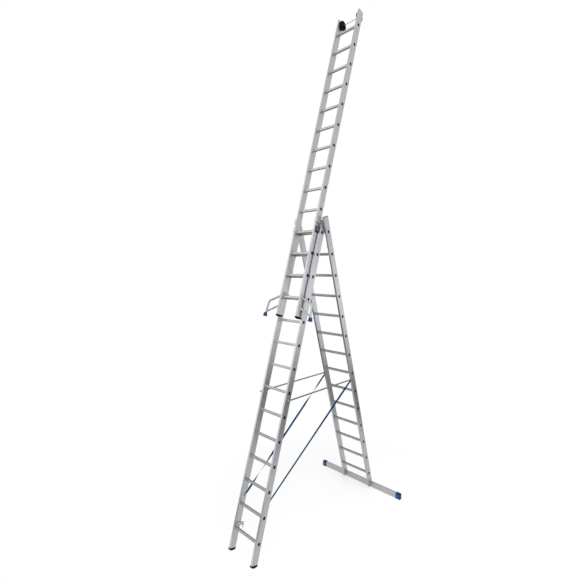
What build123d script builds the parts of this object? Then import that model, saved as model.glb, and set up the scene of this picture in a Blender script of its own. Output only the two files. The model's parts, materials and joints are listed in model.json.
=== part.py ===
"""Three-part combination ladder: two hinged sections standing as an A-frame and a sliding upper section.

Each section has its own coordinates, measured from the middle of its lowest rung:
x across the rungs, r to the rear and s up along the stiles.
"""

import os
from dataclasses import dataclass
from math import cos, radians, sin, sqrt

from build123d import *

# Stance and rungs
lean = 73.3
rung_count = 14
rung_pitch = 280.0
rung_size = 30.0
rung_wall = 2.0
rung_chamfer = 4.0
rung_tail = 5.0
rung_fit = 0.2
plug_length = 33.0
plug_width = 28.0
plug_chamfer = 9.0
plug_height = 2.2

# Stiles, nested one section inside the next
stile_depth = 88.0
stile_width = 25.0
stile_wall = 2.0
stile_corner = 3.0
groove_width = 3.0
groove_depth = 0.6
groove_spread = 52.0
front_width = 412.0
rear_gap = 5.0
upper_gap = 10.0
nest_clearance = 4.0

# How far the stiles run past the lowest and highest rungs
front_tail = 234.0
front_head = 91.0
rear_tail = 222.0
rear_head = 185.0
upper_tail = 236.0
upper_head = 201.0
raised_rungs = 10

# End caps
cap_wall = 2.5
cap_fit = 0.15
cap_skirt = 8.0
top_cap = 4.0
rear_cap_overhang = 1.5
sole_edge = 6.0
sole_radius = 90.0
sole_flat = 24.0

# Main hinge
hinge_above_front_rung = 56.0
hinge_above_rear_rung = 44.0
hinge_radius = 6.0
hinge_fit = 0.05
hinge_head_radius = 11.0
hinge_head = 6.0
spacer_radius = 17.0
side_play = 0.3

# Guides for the upper section
bracket_sheet = 3.0
bracket_height = 62.0
bracket_tab_drop = 73.0
bracket_front_inset = 4.0
bracket_rear_inset = 24.0
bracket_lift = 3.0
bracket_lip = 28.0
guide_clearance = 2.0
block_length = 80.0
block_depth = 36.0
block_drop = 21.0
block_inset = 5.0
block_corner = 6.0

# Spreader bars
bar_sheet = 5.0
bar_height = 18.0
bar_eye_radius = 12.0
bar_pivot_s = 1603.0
bar_pivot_r = -20.0
bar_stud_r = -30.0
hook_nose = 8.0
hook_drop = 18.0
pivot_tube_radius = 8.0
pivot_radius = 4.0
pivot_fit = 0.06
pivot_head_radius = 9.0
pivot_head = 4.0
stud_radius = 5.0
stud_play = 0.5
bar_rest = 0.3
bar_clearance = 0.7
stud_head_radius = 8.0
stud_head = 3.0

# Straps and their clamps
strap_width = 25.0
strap_thickness = 2.0
strap_front_s = 385.0
strap_front_r = 16.0
strap_rear_s = 1590.0
clamp_length = 32.0
clamp_width = 30.0
clamp_height = 6.0
clamp_chamfer = 2.0

# Cross beam under the rear section
beam_length = 1400.0
beam_width = 40.0
beam_height = 75.0
beam_wall = 2.5
beam_corner = 4.0
beam_lift = 3.5
beam_groove = 16.0
beam_groove_depth = 1.2
beam_behind = 103.0
beam_fit = 0.2
beam_cap_length = 70.0
beam_cap_wall = 3.0
beam_cap_wrap = 48.0
beam_cap_chamfer = 7.0

# Catches that drop over a rung
catch_sheet = 5.0
catch_gap = 3.0
catch_body_radius = 20.0
catch_pin_radius = 5.0
catch_pin_head_radius = 9.0
catch_pin_head = 2.0
catch_play = 2.0
catch_nose = 13.0
catch_nose_drop = 18.0
catch_arm = 44.0
catch_slope = 8.0
rung_catch_pivot_r = 5.0
rung_catch_pivot_s = 45.0
rung_catch_rest = 0.4
transport_pivot_r = -5.0
transport_pivot_s = 52.0

# Wall wheels
wheel_radius = 60.5
wheel_width = 26.0
wheel_hub_radius = 15.0
wheel_rim = 14.0
wheel_web = 9.0
wheel_chamfer = 4.0
wheel_fit = 0.1
wheel_gap = 2.0
axle_radius = 5.0
axle_below_top = 48.0
axle_from_back = 15.0
axle_nut_radius = 8.0
axle_nut = 5.0

# Outriggers at the foot of the upper section
tube_radius = 13.0
brace_radius = 12.0
outrigger_from_front = 13.5
arm_root_s = 15.0
arm_bend_x = 352.0
arm_bend_s = -70.0
arm_bend_radius = 40.0
arm_end_x = 374.0
arm_end_s = -240.0
brace_root_s = -107.0
brace_end_x = 360.0
brace_end_s = -208.0
pad_top_s = -223.0
pad_height = 48.0
pad_wall = 2.5
pad_bottom_width = 48.0
pad_bottom_depth = 36.0
pad_chamfer = 4.0

# What follows from the sizes above
top_rung = (rung_count - 1) * rung_pitch
rear_width = front_width + 2 * (stile_width + rear_gap)
upper_width = front_width - 2 * (stile_width + upper_gap)
section_spacing = stile_depth / 2 + rung_size / 2 + nest_clearance
hinge_r = section_spacing / 2
front_hinge_s = top_rung + hinge_above_front_rung
rear_hinge_s = top_rung + hinge_above_rear_rung
shoe_width = stile_width + 2 * cap_wall
shoe_reach = stile_depth / 2 + cap_wall
sole_rise = sqrt(sole_radius**2 - shoe_reach**2)
sole_height = sqrt(sole_radius**2 - (sole_flat / 2) ** 2)
outrigger_r = outrigger_from_front - stile_depth / 2
across_x = (1, 0, 0)


@dataclass(frozen=True)
class Section:
    """One ladder section: the middle of its lowest rung, its lean from the ground and its overall width."""

    y: float
    z: float
    lean: float
    width: float

    @property
    def outer(self) -> float:
        """Distance from the middle to a stile's outer face."""
        return self.width / 2

    @property
    def inner(self) -> float:
        """Distance from the middle to a stile's inner face."""
        return self.width / 2 - stile_width

    @property
    def up(self) -> Vector:
        """Direction up along the stiles."""
        return Vector(0, cos(radians(self.lean)), sin(radians(self.lean)))

    @property
    def rear(self) -> Vector:
        """Direction square to the section, to the rear."""
        return Vector(0, sin(radians(self.lean)), -cos(radians(self.lean)))

    def at(self, x: float, r: float, s: float) -> Vector:
        """A point given in the section's own coordinates."""
        return Vector(x, self.y, self.z) + self.rear * r + self.up * s

    def across(self, s: float) -> Plane:
        """A plane square to the stiles: local x is across and local y is r."""
        return Plane(self.at(0, 0, s), x_dir=across_x, z_dir=self.up)

    def side(self, x: float) -> Plane:
        """A plane square to the rungs: local x is r and local y is s."""
        return Plane(self.at(x, 0, 0), x_dir=self.rear, z_dir=across_x)

    def face(self, r: float) -> Plane:
        """A plane along the section: local x is across and local y is s."""
        return Plane(self.at(0, r, 0), x_dir=across_x, z_dir=self.rear * -1)


def hung_from(hinge: Vector, r: float, s: float, angle: float, width: float) -> Section:
    """The section whose point r, s lies on the main hinge."""
    loose = Section(0, 0, angle, width)
    base = hinge - loose.rear * r - loose.up * s
    return Section(base.Y, base.Z, angle, width)


# The soles are pressed flat on the ground, and the box round the feet and cross beam is centred on the origin
toe_s = -front_tail - sole_edge
sole_centre_s = toe_s + sole_rise
hinge_z = sole_height + (front_hinge_s - sole_centre_s) * sin(radians(lean)) - hinge_r * cos(radians(lean))
trial = hung_from(Vector(0, 0, hinge_z), hinge_r, front_hinge_s, lean, front_width)
trial_rear = hung_from(Vector(0, 0, hinge_z), -hinge_r, rear_hinge_s, 180 - lean, rear_width)
front_end = trial.at(0, -shoe_reach, toe_s).Y
rear_end = trial_rear.y + beam_behind + beam_width / 2 + beam_cap_wall
hinge = Vector(0, -(front_end + rear_end) / 2, hinge_z)

front = hung_from(hinge, hinge_r, front_hinge_s, lean, front_width)
rear = hung_from(hinge, -hinge_r, rear_hinge_s, 180 - lean, rear_width)
upper_base = front.at(0, -section_spacing, raised_rungs * rung_pitch)
upper = Section(upper_base.Y, upper_base.Z, lean, upper_width)
beam_middle = Vector(0, rear.y + beam_behind, beam_lift + beam_height / 2)


def save(part: Part, name: str) -> None:
    """Label a finished piece and write its STEP file."""
    part.label = name
    export_step(part, f"parts/{name}.step")


def twin(part: Part) -> Part:
    """The same piece on the other side of the ladder."""
    with BuildPart() as other:
        mirror(part, about=Plane.YZ)
    return other.part


def pair(part: Part) -> Part:
    """A piece and its twin as one group."""
    with BuildPart() as both:
        add(part)
        mirror(part, about=Plane.YZ)
    return both.part


def stile(section: Section, tail: float, head: float) -> Part:
    """A right stile: a grooved box extrusion with a seat for each rung in its inner wall."""
    middle = section.outer - stile_width / 2
    with BuildPart() as made:
        with BuildSketch(section.across(-tail)):
            with Locations((middle, 0)):
                RectangleRounded(stile_width, stile_depth, stile_corner)
                Rectangle(stile_width - 2 * stile_wall, stile_depth - 2 * stile_wall, mode=Mode.SUBTRACT)
                with GridLocations(stile_width, groove_spread, 2, 2):
                    Rectangle(2 * groove_depth, groove_width, mode=Mode.SUBTRACT)
        extrude(amount=tail + top_rung + head)
        with BuildSketch(section.side(section.inner)):
            with Locations([(0, number * rung_pitch) for number in range(rung_count)]):
                Rectangle(rung_size + 2 * rung_fit, rung_size + 2 * rung_fit)
        extrude(amount=stile_wall + rung_fit, mode=Mode.SUBTRACT)
    return made.part


def drilled(part: Part, section: Section, r: float, s: float, radius: float) -> Part:
    """A stile with a hole across it, through both walls."""
    with BuildPart() as made:
        add(part)
        with BuildSketch(section.side(section.outer - stile_width / 2)):
            with Locations((r, s)):
                Circle(radius)
        extrude(amount=stile_width, both=True, mode=Mode.SUBTRACT)
    return made.part


def rungs(section: Section) -> Part:
    """All rungs of a section: bevelled square tubes that end inside the stiles."""
    reach = section.inner + stile_wall + rung_tail
    with BuildPart() as made:
        with BuildSketch(section.side(-reach)) as outlines:
            with Locations([(0, number * rung_pitch) for number in range(rung_count)]):
                Rectangle(rung_size, rung_size)
            chamfer(outlines.vertices(), rung_chamfer)
            offset(amount=-rung_wall, kind=Kind.INTERSECTION, mode=Mode.SUBTRACT)
        extrude(amount=2 * reach)
    return made.part


def rung_plugs(section: Section) -> Part:
    """The oval plugs that close the rung ends on the outer faces."""
    with BuildPart() as made:
        with BuildSketch(section.side(section.outer)) as outlines:
            with Locations([(0, number * rung_pitch) for number in range(rung_count)]):
                Rectangle(plug_width, plug_length)
            chamfer(outlines.vertices(), plug_chamfer)
        extrude(amount=plug_height)
    return pair(made.part)


def end_plates(section: Section, head: float, overhang: float) -> Part:
    """Flat caps on the upper ends of both stiles."""
    with BuildPart() as made:
        with BuildSketch(section.across(top_rung + head)) as outline:
            with Locations((section.outer - stile_width / 2, 0)):
                Rectangle(stile_width + 2 * overhang, stile_depth + 2 * overhang)
            chamfer(outline.vertices(), stile_corner / 2)
        extrude(amount=top_cap)
    return pair(made.part)


def shoe(section: Section, tail: float) -> Part:
    """A rubber shoe on a stile's lower end, with a rolling sole."""
    middle = section.outer - stile_width / 2
    edge_s = -tail - sole_edge
    sole_middle = (0, edge_s + sole_rise - sole_radius)
    with BuildPart() as made:
        with BuildSketch(section.side(middle)):
            with BuildLine():
                Polyline(
                    (-shoe_reach, edge_s),
                    (-shoe_reach, cap_skirt - tail),
                    (shoe_reach, cap_skirt - tail),
                    (shoe_reach, edge_s),
                )
                ThreePointArc((-shoe_reach, edge_s), sole_middle, (shoe_reach, edge_s))
            make_face()
        extrude(amount=shoe_width / 2, both=True)
        with BuildSketch(section.across(-tail)):
            with Locations((middle, 0)):
                Rectangle(stile_width + 2 * cap_fit, stile_depth + 2 * cap_fit)
        extrude(amount=cap_skirt, mode=Mode.SUBTRACT)
    return made.part


Steps = list[tuple[float, float, float]]


def bolt(section: Section, r: float, s: float, shafts: Steps, heads: Steps) -> Part:
    """A pin along x with hexagon heads, each step given as start, end and radius."""
    with BuildPart() as made:
        for start, end, radius in shafts:
            with BuildSketch(section.side(start)):
                with Locations((r, s)):
                    Circle(radius)
            extrude(amount=end - start)
        for start, end, radius in heads:
            with BuildSketch(section.side(start)):
                with Locations((r, s)):
                    RegularPolygon(radius, 6)
            extrude(amount=end - start)
    return made.part


def clamp_box(middle: Vector, section: Section, sizes: tuple[float, float, float]) -> Part:
    """A strap clamp: a bevelled block set square to a section, its sizes given across, to the rear and up."""
    base = Plane(middle - section.up * (sizes[2] / 2), x_dir=across_x, z_dir=section.up)
    with BuildPart() as made:
        with BuildSketch(base) as outline:
            Rectangle(sizes[0], sizes[1])
            chamfer(outline.vertices(), clamp_chamfer)
        extrude(amount=sizes[2])
    return made.part


Spot = tuple[float, float]


def catch(section: Section, x: float, pivot: Spot, rung: Spot, rest: float) -> Part:
    """A plate on a pivot that reaches back over a rung and down behind it."""
    front_side = rung[0] - rung_size / 2 - catch_play
    back_side = rung[0] + rung_size / 2 + catch_play
    saddle = rung[1] + rung_size / 2 + rest
    ridge = saddle + catch_arm
    tip = rung[1] - catch_nose_drop
    with BuildPart() as made:
        with BuildSketch(section.side(x)):
            with BuildLine():
                Polyline(
                    (pivot[0], pivot[1] + catch_body_radius),
                    (front_side, ridge),
                    (back_side, ridge - catch_slope),
                    (back_side + catch_nose, saddle),
                    (back_side + catch_nose, tip + catch_nose / 2),
                    (back_side + catch_nose / 2, tip),
                    (back_side, tip + catch_nose / 2),
                    (back_side, saddle),
                    (front_side, saddle),
                    (front_side - catch_slope, saddle + catch_slope),
                    (pivot[0], pivot[1] - catch_body_radius),
                    close=True,
                )
            make_face()
            with Locations(pivot):
                Circle(catch_body_radius)
                Circle(catch_pin_radius + pivot_fit, mode=Mode.SUBTRACT)
        extrude(amount=catch_sheet)
    return made.part


os.makedirs("parts", exist_ok=True)

# Stiles
hinge_bore = hinge_radius + hinge_fit
axle_r = stile_depth / 2 - axle_from_back
axle_s = top_rung + upper_head + top_cap - axle_below_top

front_stile = drilled(stile(front, front_tail, front_head), front, hinge_r, front_hinge_s, hinge_bore)
upper_stile = drilled(stile(upper, upper_tail, upper_head), upper, axle_r, axle_s, axle_radius + hinge_fit)

with BuildPart() as rear_stile:
    add(drilled(stile(rear, rear_tail, rear_head), rear, -hinge_r, rear_hinge_s, hinge_bore))
    with BuildSketch(Plane.YZ):
        with Locations((beam_middle.Y, beam_middle.Z)):
            Rectangle(beam_width + 2 * beam_fit, beam_height + 2 * beam_fit)
        with Locations((beam_middle.Y + beam_width, beam_middle.Z - beam_height / 2)):
            Rectangle(2 * beam_width, beam_height)
    extrude(amount=rear.outer, mode=Mode.SUBTRACT)

for name, piece in (("front", front_stile), ("rear", rear_stile.part), ("upper", upper_stile)):
    save(piece, f"{name}_stile_right")
    save(twin(piece), f"{name}_stile_left")

# Rungs, plugs and upper end caps
for name, section in (("front", front), ("rear", rear), ("upper", upper)):
    save(rungs(section), f"{name}_rungs")
    save(rung_plugs(section), f"{name}_rung_plugs")
save(end_plates(front, front_head, 0), "front_top_caps")
save(end_plates(rear, rear_head, rear_cap_overhang), "rear_top_caps")
save(end_plates(upper, upper_head, 0), "upper_top_caps")

# Shoes on the lower ends of the front and upper sections
with BuildPart() as front_foot:
    add(shoe(front, front_tail))
    split(bisect_by=Plane.XY, keep=Keep.TOP)

for name, foot in (("front", front_foot.part), ("upper", shoe(upper, upper_tail))):
    save(foot, f"{name}_foot_right")
    save(twin(foot), f"{name}_foot_left")

# Main hinge: one pin on each side through both neighbouring stiles, and a spacer between them
hinge_pin = bolt(
    front,
    hinge_r,
    front_hinge_s,
    [(front.inner, rear.outer + side_play, hinge_radius)],
    [
        (front.inner - hinge_head, front.inner, hinge_head_radius),
        (rear.outer + side_play, rear.outer + side_play + hinge_head, hinge_head_radius),
    ],
)
save(pair(hinge_pin), "hinge_pins")

with BuildPart() as hinge_spacer:
    with BuildSketch(front.side(front.outer)):
        with Locations((hinge_r, front_hinge_s)):
            Circle(spacer_radius)
            Circle(hinge_bore, mode=Mode.SUBTRACT)
    extrude(amount=rear_gap - side_play)
save(pair(hinge_spacer.part), "hinge_spacers")

# Guide brackets: bent sheet on the front stiles' upper ends that holds the upper stiles from the front
lip_rear = -section_spacing - stile_depth / 2 - guide_clearance
bracket_foot = top_rung + front_head + top_cap + bracket_lift
sheet_middle = front.inner - bracket_sheet / 2
tab_front = bracket_front_inset - stile_depth / 2
tab_rear = stile_depth / 2 - bracket_rear_inset
with BuildPart() as guide_bracket:
    with BuildSketch(front.across(bracket_foot)):
        with Locations((sheet_middle, tab_rear)):
            Rectangle(bracket_sheet, tab_rear - lip_rear, align=(Align.CENTER, Align.MAX))
        with Locations((front.inner, lip_rear)):
            Rectangle(bracket_lip + bracket_sheet, bracket_sheet, align=(Align.MAX, Align.MAX))
    extrude(amount=bracket_height)
    with BuildSketch(front.across(bracket_foot)):
        with Locations((sheet_middle, tab_rear)):
            Rectangle(bracket_sheet, tab_rear - tab_front, align=(Align.CENTER, Align.MAX))
    extrude(amount=-bracket_tab_drop)
save(guide_bracket.part, "guide_bracket_right")
save(twin(guide_bracket.part), "guide_bracket_left")

# Guide blocks: moulded runners on the front edges, beside the upper stiles
block_width = stile_width + block_inset
with BuildPart() as guide_block:
    with BuildSketch(front.across(top_rung + front_head - block_drop)):
        with Locations((front.outer, -stile_depth / 2)):
            Rectangle(block_width, block_depth, align=(Align.MAX, Align.MAX))
    extrude(amount=-block_length)
    fillet(guide_block.faces().sort_by(Axis(front.at(0, 0, 0), front.rear))[0].edges(), block_corner)
save(guide_block.part, "guide_block_right")
save(twin(guide_block.part), "guide_block_left")

# Spreader bars: flat bars outside the rear stiles, with a nose that drops behind a stud
bar_inside = rear.outer + plug_height + bar_clearance
bar_outside = bar_inside + bar_sheet
pivot = front.at(0, bar_pivot_r, bar_pivot_s)
stud_z = pivot.Z - bar_height / 2 - bar_rest - stud_radius
stud_s = (stud_z - rear.z - rear.rear.Z * bar_stud_r) / rear.up.Z
stud_reach = rear.at(0, bar_stud_r, stud_s).Y - pivot.Y
nose_start = stud_reach + stud_radius + stud_play
nose_end = nose_start + hook_nose
bar_plane = Plane((bar_inside, pivot.Y, pivot.Z), x_dir=(0, 1, 0), z_dir=across_x)
with BuildPart() as spreader_bar:
    with BuildSketch(bar_plane):
        with BuildLine():
            Polyline(
                (0, -bar_height / 2),
                (nose_start, -bar_height / 2),
                (nose_start, -bar_height / 2 - hook_drop),
                (nose_end, -bar_height / 2 - hook_drop),
                (nose_end, 0),
                (nose_start, bar_height / 2),
                (0, bar_height / 2),
                close=True,
            )
        make_face()
        Circle(bar_eye_radius)
        Circle(pivot_radius + pivot_fit, mode=Mode.SUBTRACT)
    extrude(amount=bar_sheet)
save(spreader_bar.part, "spreader_bar_right")
save(twin(spreader_bar.part), "spreader_bar_left")

bar_pivot = bolt(
    front,
    bar_pivot_r,
    bar_pivot_s,
    [
        (front.outer, bar_inside - side_play, pivot_tube_radius),
        (bar_inside - side_play, bar_outside + side_play, pivot_radius),
    ],
    [(bar_outside + side_play, bar_outside + side_play + pivot_head, pivot_head_radius)],
)
save(pair(bar_pivot), "bar_pivots")

bar_stud = bolt(
    rear,
    bar_stud_r,
    stud_s,
    [(rear.outer, bar_outside + side_play, stud_radius)],
    [(bar_outside + side_play, bar_outside + side_play + stud_head, stud_head_radius)],
)
save(pair(bar_stud), "bar_studs")

# Straps between a clamp inside each front stile and a clamp on each rear stile's front edge
front_clamp_at = front.at(front.inner - clamp_height / 2, strap_front_r, strap_front_s)
clamp_face = -stile_depth / 2 - clamp_height
rear_clamp_at = rear.at(rear.outer - stile_width / 2, clamp_face + clamp_height / 2, strap_rear_s)
front_clamp = clamp_box(front_clamp_at, front, (clamp_height, clamp_width, clamp_length))
rear_clamp = clamp_box(rear_clamp_at, rear, (stile_width, clamp_height, clamp_length))
save(pair(front_clamp), "strap_clamps_front")
save(pair(rear_clamp), "strap_clamps_rear")

strap_run = rear.at(rear.outer - stile_width / 2, clamp_face, strap_rear_s) - front_clamp_at
with BuildPart() as strap:
    with BuildSketch(Plane(front_clamp_at, x_dir=across_x, z_dir=strap_run)):
        Rectangle(strap_thickness, strap_width)
    extrude(amount=strap_run.length)
    add(front_clamp, mode=Mode.SUBTRACT)
    add(rear_clamp, mode=Mode.SUBTRACT)
save(strap.part, "strap_right")
save(twin(strap.part), "strap_left")

# Cross beam with its end caps
cap_inside = beam_length / 2 - beam_cap_length
with BuildPart() as beam:
    with BuildSketch(Plane.YZ):
        with Locations((beam_middle.Y, beam_middle.Z)):
            RectangleRounded(beam_width, beam_height, beam_corner)
            Rectangle(beam_width - 2 * beam_wall, beam_height - 2 * beam_wall, mode=Mode.SUBTRACT)
            with GridLocations(beam_width, 1, 2, 1):
                Rectangle(2 * beam_groove_depth, beam_groove, mode=Mode.SUBTRACT)
    extrude(amount=cap_inside + beam_cap_wrap, both=True)
save(beam.part, "traverse_bar")

with BuildPart() as beam_cap:
    with BuildSketch(Plane.YZ.offset(cap_inside)):
        with Locations((beam_middle.Y, 0)):
            Rectangle(
                beam_width + 2 * beam_cap_wall,
                beam_lift + beam_height + beam_cap_wall,
                align=(Align.CENTER, Align.MIN),
            )
    extrude(amount=beam_cap_length)
    chamfer(beam_cap.faces().sort_by(Axis.X)[-1].edges(), beam_cap_chamfer)
    with BuildSketch(Plane.YZ.offset(cap_inside)):
        with Locations((beam_middle.Y, beam_middle.Z)):
            RectangleRounded(beam_width + 2 * cap_fit, beam_height + 2 * cap_fit, beam_corner)
    extrude(amount=beam_cap_wrap, mode=Mode.SUBTRACT)
save(beam_cap.part, "traverse_cap_right")
save(twin(beam_cap.part), "traverse_cap_left")

# Catches: a pair that carries the upper section on a rung, and one that holds the folded sections together
rung_pivot = (rung_catch_pivot_r, rung_catch_pivot_s)
rung_catch_x = upper.inner - catch_gap - catch_sheet
rung_catch = catch(upper, rung_catch_x, rung_pivot, (section_spacing, 0), rung_catch_rest)
save(rung_catch, "rung_hook_right")
save(twin(rung_catch), "rung_hook_left")
rung_catch_pin = bolt(
    upper,
    *rung_pivot,
    [(rung_catch_x - side_play, upper.inner - catch_gap + side_play, catch_pin_radius)],
    [
        (upper.inner - catch_gap + side_play, upper.inner, catch_pin_head_radius),
        (rung_catch_x - side_play - catch_pin_head, rung_catch_x - side_play, catch_pin_head_radius),
    ],
)
save(pair(rung_catch_pin), "rung_hook_pins")

fold_offset = hinge_above_front_rung - hinge_above_rear_rung
transport_pivot = (transport_pivot_r, transport_pivot_s)
transport_x = front.inner - plug_height - catch_sheet
transport_catch = catch(front, transport_x, transport_pivot, (section_spacing, fold_offset), catch_play)
save(twin(transport_catch), "transport_hook")
transport_pin = bolt(
    front,
    *transport_pivot,
    [(transport_x - side_play, transport_x + catch_sheet + side_play, catch_pin_radius)],
    [(transport_x + catch_sheet + side_play, front.inner, catch_pin_head_radius)],
)
save(twin(transport_pin), "transport_hook_pin")

# Wall wheels on one axle
wheel_inside = upper.inner - wheel_gap - wheel_width
axle = upper.at(0, axle_r, axle_s)
with BuildPart() as wheel:
    wheel_plane = Plane((wheel_inside + wheel_width / 2, axle.Y, axle.Z), x_dir=across_x, z_dir=upper.up)
    with BuildSketch(wheel_plane) as wheel_half:
        with Locations((0, wheel_radius - wheel_rim / 2)):
            Rectangle(wheel_width, wheel_rim)
        chamfer(wheel_half.vertices().sort_by(Axis(axle, upper.rear))[-2:], wheel_chamfer)
        with Locations((0, wheel_radius / 2)):
            Rectangle(wheel_web, wheel_radius)
        with Locations((0, wheel_hub_radius / 2)):
            Rectangle(wheel_width, wheel_hub_radius)
        Rectangle(wheel_width, 2 * (axle_radius + wheel_fit), mode=Mode.SUBTRACT)
    revolve(axis=Axis((0, axle.Y, axle.Z), across_x))
save(wheel.part, "wheel_right")
save(twin(wheel.part), "wheel_left")

axle_end = upper.outer + axle_nut
wheel_axle = bolt(
    upper,
    axle_r,
    axle_s,
    [(-upper.outer, upper.outer, axle_radius)],
    [(-axle_end, -upper.outer, axle_nut_radius), (upper.outer, axle_end, axle_nut_radius)],
)
save(wheel_axle, "wheel_axle")

# Outriggers: a bent tube and a brace on each side, down to a plastic pad
outer_face = Plane(upper.at(upper.outer, 0, 0), x_dir=upper.rear, z_dir=across_x)
arm_plane = upper.face(outrigger_r)
with BuildPart() as outrigger_arm:
    with BuildLine(arm_plane):
        arm_path = FilletPolyline(
            (upper.inner, arm_root_s),
            (arm_bend_x, arm_bend_s),
            (arm_end_x, arm_end_s),
            radius=arm_bend_radius,
        )
    with BuildSketch(Plane(arm_path @ 0, z_dir=arm_path % 0)):
        Circle(tube_radius)
    sweep()
    split(bisect_by=outer_face, keep=Keep.TOP)
save(outrigger_arm.part, "outrigger_arm_right")
save(twin(outrigger_arm.part), "outrigger_arm_left")

with BuildPart() as outrigger_brace:
    with BuildLine(arm_plane):
        brace_path = Line((upper.inner, brace_root_s), (brace_end_x, brace_end_s))
    with BuildSketch(Plane(brace_path @ 0, z_dir=brace_path % 0)):
        Circle(brace_radius)
    sweep()
    split(bisect_by=outer_face, keep=Keep.TOP)
    add(outrigger_arm.part, mode=Mode.SUBTRACT)
save(outrigger_brace.part, "outrigger_brace_right")
save(twin(outrigger_brace.part), "outrigger_brace_left")

pad_top_width = 2 * (tube_radius + pad_wall)
with BuildPart() as outrigger_pad:
    with BuildSketch(upper.across(pad_top_s)) as pad_top:
        with Locations((arm_end_x, outrigger_r)):
            Rectangle(pad_top_width, pad_top_width)
        chamfer(pad_top.vertices(), pad_chamfer)
    with BuildSketch(upper.across(pad_top_s - pad_height)) as pad_bottom:
        with Locations((arm_end_x, outrigger_r)):
            Rectangle(pad_bottom_width, pad_bottom_depth)
        chamfer(pad_bottom.vertices(), pad_chamfer)
    loft(ruled=True)
    add(outrigger_arm.part, mode=Mode.SUBTRACT)
save(outrigger_pad.part, "outrigger_pad_right")
save(twin(outrigger_pad.part), "outrigger_pad_left")
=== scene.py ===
"""Dresses a three-part combination ladder that stands as an A-frame with its upper section run out."""

import json
import logging
import math
from dataclasses import dataclass
from enum import Enum
from typing import Any, Sequence

import bmesh
import bpy
from mathutils import Matrix, Vector


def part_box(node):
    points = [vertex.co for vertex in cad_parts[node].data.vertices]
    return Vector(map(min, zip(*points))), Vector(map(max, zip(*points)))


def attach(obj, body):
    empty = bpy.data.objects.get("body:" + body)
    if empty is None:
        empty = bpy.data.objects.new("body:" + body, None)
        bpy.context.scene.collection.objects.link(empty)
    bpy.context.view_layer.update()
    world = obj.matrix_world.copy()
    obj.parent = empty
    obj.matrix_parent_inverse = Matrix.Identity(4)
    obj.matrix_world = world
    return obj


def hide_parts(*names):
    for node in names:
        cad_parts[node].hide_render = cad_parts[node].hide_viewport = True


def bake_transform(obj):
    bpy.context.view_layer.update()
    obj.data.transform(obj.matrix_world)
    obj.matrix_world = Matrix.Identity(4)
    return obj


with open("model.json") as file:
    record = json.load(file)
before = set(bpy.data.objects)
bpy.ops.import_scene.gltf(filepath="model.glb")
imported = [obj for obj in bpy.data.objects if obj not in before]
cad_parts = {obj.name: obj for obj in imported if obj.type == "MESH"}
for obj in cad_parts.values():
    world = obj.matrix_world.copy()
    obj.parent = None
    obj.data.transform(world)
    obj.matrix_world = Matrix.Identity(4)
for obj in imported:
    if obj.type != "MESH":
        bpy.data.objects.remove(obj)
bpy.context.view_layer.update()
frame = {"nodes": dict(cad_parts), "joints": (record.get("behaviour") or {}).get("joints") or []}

LOG = logging.getLogger("ladder")
X_AXIS = Vector((1, 0, 0))
WHITE = (1.0, 1.0, 1.0, 1.0)
LEAN = 73.3
UPRIGHT = 90.0

Colour = tuple[float, float, float]
Point2 = tuple[float, float]
Point3 = tuple[float, float, float]


class Side(Enum):
    """The two sides of the ladder, by the sign of x."""

    LEFT = -1
    RIGHT = 1

    @property
    def word(self) -> str:
        """The side's name as node names have it."""
        return self.name.lower()


class Wire:
    """A value in a node tree, on which Python's operators add Math nodes."""

    def __init__(self, board: "Board", socket: bpy.types.NodeSocket) -> None:
        """Keeps the tree and the socket that the value comes from."""
        self.board = board
        self.socket = socket

    def __add__(self, other: Any) -> "Wire":
        """The sum."""
        return self.board.math("ADD", self, other)

    def __radd__(self, other: Any) -> "Wire":
        """The sum, with a number first."""
        return self.board.math("ADD", other, self)

    def __sub__(self, other: Any) -> "Wire":
        """The difference."""
        return self.board.math("SUBTRACT", self, other)

    def __rsub__(self, other: Any) -> "Wire":
        """The difference, with a number first."""
        return self.board.math("SUBTRACT", other, self)

    def __mul__(self, other: Any) -> "Wire":
        """The product."""
        return self.board.math("MULTIPLY", self, other)

    def __rmul__(self, other: Any) -> "Wire":
        """The product, with a number first."""
        return self.board.math("MULTIPLY", other, self)

    def or_more(self, other: Any) -> "Wire":
        """The larger of two values."""
        return self.board.math("MAXIMUM", self, other)

    def wave(self) -> "Wire":
        """A sine of the value, between 0 and 1."""
        return self.board.math("SINE", self, 0.0) * 0.5 + 0.5

    def between(self, low: float, high: float) -> "Wire":
        """An eased step.

        Args:
            low: the value up to which the step is 0.
            high: the value from which it is 1.

        Returns:
            The step.
        """
        inputs = {"Value": self, "From Min": low, "From Max": high}
        node = self.board.add("ShaderNodeMapRange", {"interpolation_type": "SMOOTHSTEP"}, inputs)
        return self.board.out(node, "Result")


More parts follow.
